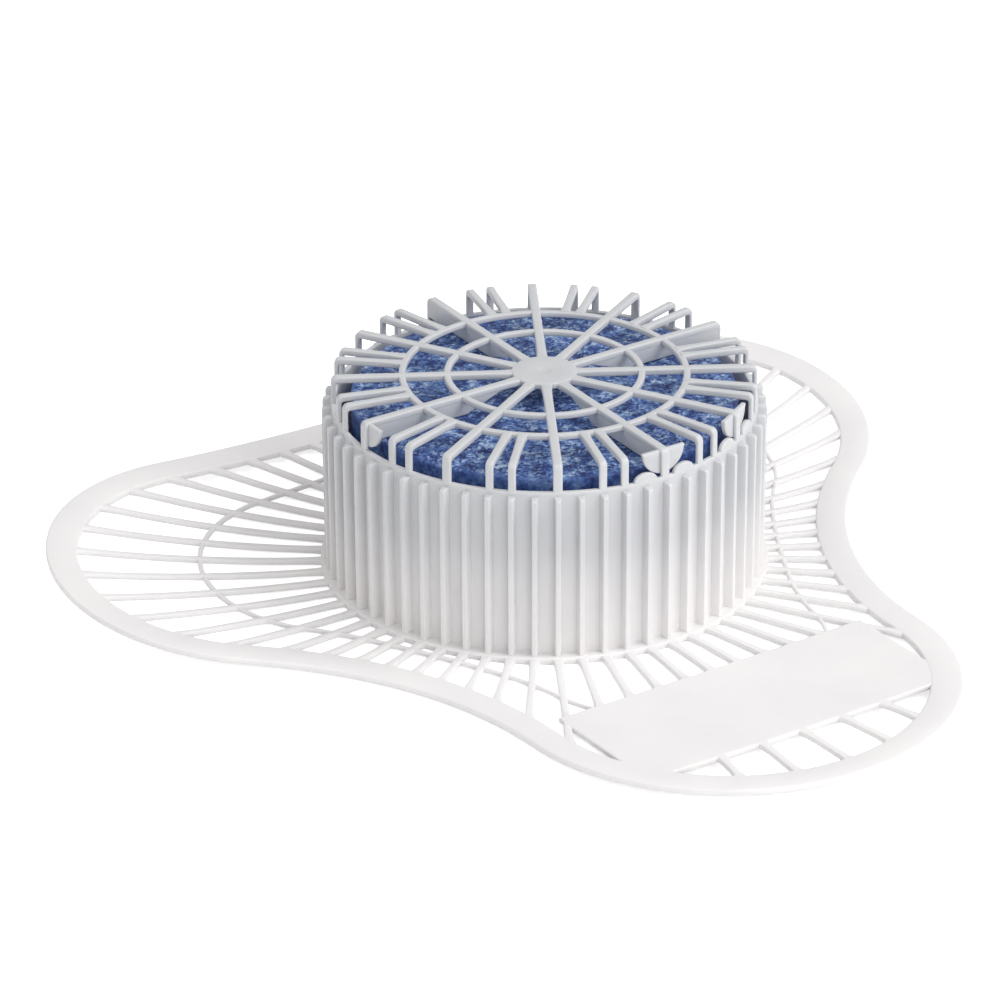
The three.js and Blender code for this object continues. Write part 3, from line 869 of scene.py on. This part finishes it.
def floor_material(stage):
    """Plain white floor that keeps shadows, with a little white added for the camera and for mirror views."""
    material, nodes, links, shader = new_material("plain_floor")
    shader.inputs["Base Color"].default_value = tuple(stage.floor_colour)
    shader.inputs["Roughness"].default_value = 0.9
    shader.inputs["Specular IOR Level"].default_value = 0.0
    shader.inputs["Emission Color"].default_value = (1, 1, 1, 1)
    path = nodes.new("ShaderNodeLightPath")
    seen = nodes.new("ShaderNodeMath")
    seen.operation = 'MAXIMUM'
    links.new(path.outputs["Is Camera Ray"], seen.inputs[0])
    links.new(path.outputs["Is Glossy Ray"], seen.inputs[1])
    also = nodes.new("ShaderNodeMath")
    also.operation = 'MAXIMUM'
    links.new(seen.outputs["Value"], also.inputs[0])
    links.new(path.outputs["Is Transmission Ray"], also.inputs[1])
    glow = nodes.new("ShaderNodeMath")
    glow.operation = 'MULTIPLY'
    glow.inputs[1].default_value = stage.floor_glow
    links.new(also.outputs["Value"], glow.inputs[0])
    links.new(glow.outputs["Value"], shader.inputs["Emission Strength"])
    return material


# Operators

PARTS = "screen_parts"


def keep_part(piece):
    """Remembers a part of the moulding until the parts are joined."""
    piece[PARTS] = True
    return piece


class AddMat(bpy.types.Operator):
    """Adds the mat's band, radial bars, thin ring and bare panel."""
    bl_idname = "deodorizer.add_mat"
    bl_label = "Add Mat"

    def execute(self, context):
        cage = context.scene.deodorizer_cage
        mat = context.scene.deodorizer_mat
        keep_part(loop_mesh("part_band", band_points(cage, mat)))
        angles, starts, ends = spoke_spans(cage, mat).T
        keep_part(bars_mesh("part_bars", spoke_points(angles, starts, ends, cage, mat)))
        keep_part(bars_mesh("part_middle_ring", middle_ring_points(cage, mat)))
        keep_part(bars_mesh("part_panel", panel_points(cage, mat)))
        return {'FINISHED'}


class AddCage(bpy.types.Operator):
    """Adds the ribbed wall with its flange, and the lugs inside it."""
    bl_idname = "deodorizer.add_cage"
    bl_label = "Add Cage"

    def execute(self, context):
        scene = context.scene
        keep_part(loop_mesh("part_wall", wall_points(scene.deodorizer_cage, scene.deodorizer_mat)))
        lugs = lug_points(scene.deodorizer_cage, scene.deodorizer_block, scene.deodorizer_lid)
        keep_part(bars_mesh("part_lugs", lugs))
        return {'FINISHED'}


class AddLid(bpy.types.Operator):
    """Adds the lid's hub, rings, arms, webs and tabs, and the lips beside the tabs."""
    bl_idname = "deodorizer.add_lid"
    bl_label = "Add Lid"

    def execute(self, context):
        cage = context.scene.deodorizer_cage
        lid = context.scene.deodorizer_lid
        pitch = 2 * math.pi / cage.rib_count
        places = np.arange(cage.rib_count)
        long_places = places[places % 5 == 0]
        short_places = places[(places % 5 == 2) | (places % 5 == 3)]
        long_arms = arm_points(lid.hub_radius - lid.join, lid.long_arm, long_places * pitch, cage, lid)
        short_start = lid.outer_ring - lid.ring_width / 2
        short_arms = arm_points(short_start, lid.short_arm, short_places * pitch, cage, lid)
        keep_part(hub_mesh("part_hub", lid))
        keep_part(loop_mesh("part_inner_ring", lid_ring_points(lid.inner_ring, lid)))
        keep_part(loop_mesh("part_outer_ring", lid_ring_points(lid.outer_ring, lid)))
        keep_part(bars_mesh("part_long_arms", long_arms))
        keep_part(bars_mesh("part_short_arms", short_arms))
        keep_part(bars_mesh("part_webs", web_points(np.arange(4) * math.pi / 2, cage, lid)))
        whole_tabs = tab_points(np.array([0, 5]) * pitch, math.pi, cage, lid)
        half_tab = tab_points(np.array([-15]) * pitch, math.pi / 2, cage, lid)
        keep_part(bars_mesh("part_tabs", whole_tabs))
        keep_part(bars_mesh("part_half_tab", half_tab))
        keep_part(bars_mesh("part_lips", lip_points(np.array([-1, 1, 4, 6]) * pitch, cage, lid)))
        return {'FINISHED'}


class JoinMoulding(bpy.types.Operator):
    """Joins all parts of the moulding into one closed piece, which stands for the screen."""
    bl_idname = "deodorizer.join_moulding"
    bl_label = "Join Moulding"

    def execute(self, context):
        parts = [piece for piece in context.scene.objects if PARTS in piece]
        whole = parts[0]
        for part in parts[1:]:
            union = whole.modifiers.new(part.name, 'BOOLEAN')
            union.operation = 'UNION'
            union.solver = 'MANIFOLD'
            union.object = part
        depsgraph = context.evaluated_depsgraph_get()
        mesh = bpy.data.meshes.new_from_object(whole.evaluated_get(depsgraph))
        mesh.name = "moulded_screen"
        for part in parts:
            bpy.data.objects.remove(part)
        piece = bpy.data.objects.new("moulded_screen", mesh)
        context.scene.collection.objects.link(piece)
        mesh.shade_smooth()
        mesh.set_sharp_from_angle(angle=math.radians(38))
        mesh.materials.clear()
        mesh.materials.append(plastic_material(context.scene.deodorizer_finish))
        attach(piece, "root")
        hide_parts("screen")
        return {'FINISHED'}


class AddBlock(bpy.types.Operator):
    """Adds the pressed deodorant block."""
    bl_idname = "deodorizer.add_block"
    bl_label = "Add Block"

    def execute(self, context):
        piece = bars_mesh("pressed_block", block_surface(context.scene.deodorizer_block)[None])
        piece.data.shade_smooth()
        piece.data.materials.append(block_material(context.scene.deodorizer_finish))
        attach(piece, "root")
        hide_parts("deodorant_block")
        return {'FINISHED'}


class AddStage(bpy.types.Operator):
    """Adds the floor, the lamps, the room light and the camera."""
    bl_idname = "deodorizer.add_stage"
    bl_label = "Add Stage"

    def execute(self, context):
        scene = context.scene
        stage = scene.deodorizer_stage
        scene.view_settings.view_transform = 'Standard'

        floor_mesh = bpy.data.meshes.new("floor")
        half = 6.0
        drop = -0.05 * MM
        corners = [(-half, -half, drop), (half, -half, drop), (half, half, drop), (-half, half, drop)]
        floor_mesh.from_pydata(corners, [], [(0, 1, 2, 3)])
        floor_mesh.materials.append(floor_material(stage))
        floor = bpy.data.objects.new("floor", floor_mesh)
        scene.collection.objects.link(floor)

        world = bpy.data.worlds.new("room_light")
        scene.world = world
        world.use_nodes = True
        world.node_tree.nodes["Background"].inputs["Color"].default_value = (1, 1, 1, 1)
        world.node_tree.nodes["Background"].inputs["Strength"].default_value = stage.world_strength

        add_lamp("key_lamp", (0.55, -0.55, 0.9), 0.7, stage.key_power)
        add_lamp("fill_lamp", (-0.6, 0.3, 0.9), 0.8, stage.fill_power)
        add_lamp("front_lamp", (-0.2, -1.1, 0.42), 0.9, stage.front_power)

        camera_data = bpy.data.cameras.new("camera")
        camera_data.lens = stage.lens
        camera_data.sensor_width = 36.0
        camera = bpy.data.objects.new("camera", camera_data)
        camera.location = stage.camera_place
        camera.location.y += AXIS_Y
        camera.rotation_euler = stage.camera_turn
        scene.collection.objects.link(camera)
        scene.camera = camera
        return {'FINISHED'}


def add_lamp(name, place, size, power):
    """A square area lamp that faces the cage."""
    data = bpy.data.lights.new(name, 'AREA')
    data.size = size
    data.energy = power
    lamp = bpy.data.objects.new(name, data)
    lamp.location = place
    aim = np.array([0.0, AXIS_Y, 0.02]) - np.array(place)
    lamp.rotation_euler = (
        math.atan2(math.hypot(aim[0], aim[1]), -aim[2]), 0.0, math.atan2(aim[1], aim[0]) - math.pi / 2)
    bpy.context.scene.collection.objects.link(lamp)
    return lamp


STEPS = (AddStage, AddMat, AddCage, AddLid, JoinMoulding, AddBlock)
GROUPS = {
    "deodorizer_cage": CageSizes,
    "deodorizer_lid": LidSizes,
    "deodorizer_mat": MatSizes,
    "deodorizer_block": BlockSizes,
    "deodorizer_finish": FinishColours,
    "deodorizer_stage": StageSettings,
}


class ScreenPanel(bpy.types.Panel):
    """Lists the steps that build the screen."""
    bl_idname = "VIEW3D_PT_deodorizer"
    bl_label = "Deodorizer Screen"
    bl_space_type = 'VIEW_3D'
    bl_region_type = 'UI'
    bl_category = "Screen"

    def draw(self, context):
        for step in STEPS:
            self.layout.operator(step.bl_idname)


def register():
    for group in GROUPS.values():
        bpy.utils.register_class(group)
    for name, group in GROUPS.items():
        setattr(bpy.types.Scene, name, PointerProperty(type=group))
    for step in STEPS:
        bpy.utils.register_class(step)
    bpy.utils.register_class(ScreenPanel)


def unregister():
    bpy.utils.unregister_class(ScreenPanel)
    for step in reversed(STEPS):
        bpy.utils.unregister_class(step)
    for name in GROUPS:
        delattr(bpy.types.Scene, name)
    for group in reversed(list(GROUPS.values())):
        bpy.utils.unregister_class(group)


def main():
    """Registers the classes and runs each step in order."""
    register()
    bpy.ops.deodorizer.add_stage()
    bpy.ops.deodorizer.add_mat()
    bpy.ops.deodorizer.add_cage()
    bpy.ops.deodorizer.add_lid()
    bpy.ops.deodorizer.join_moulding()
    bpy.ops.deodorizer.add_block()


if __name__ == "__main__":
    main()
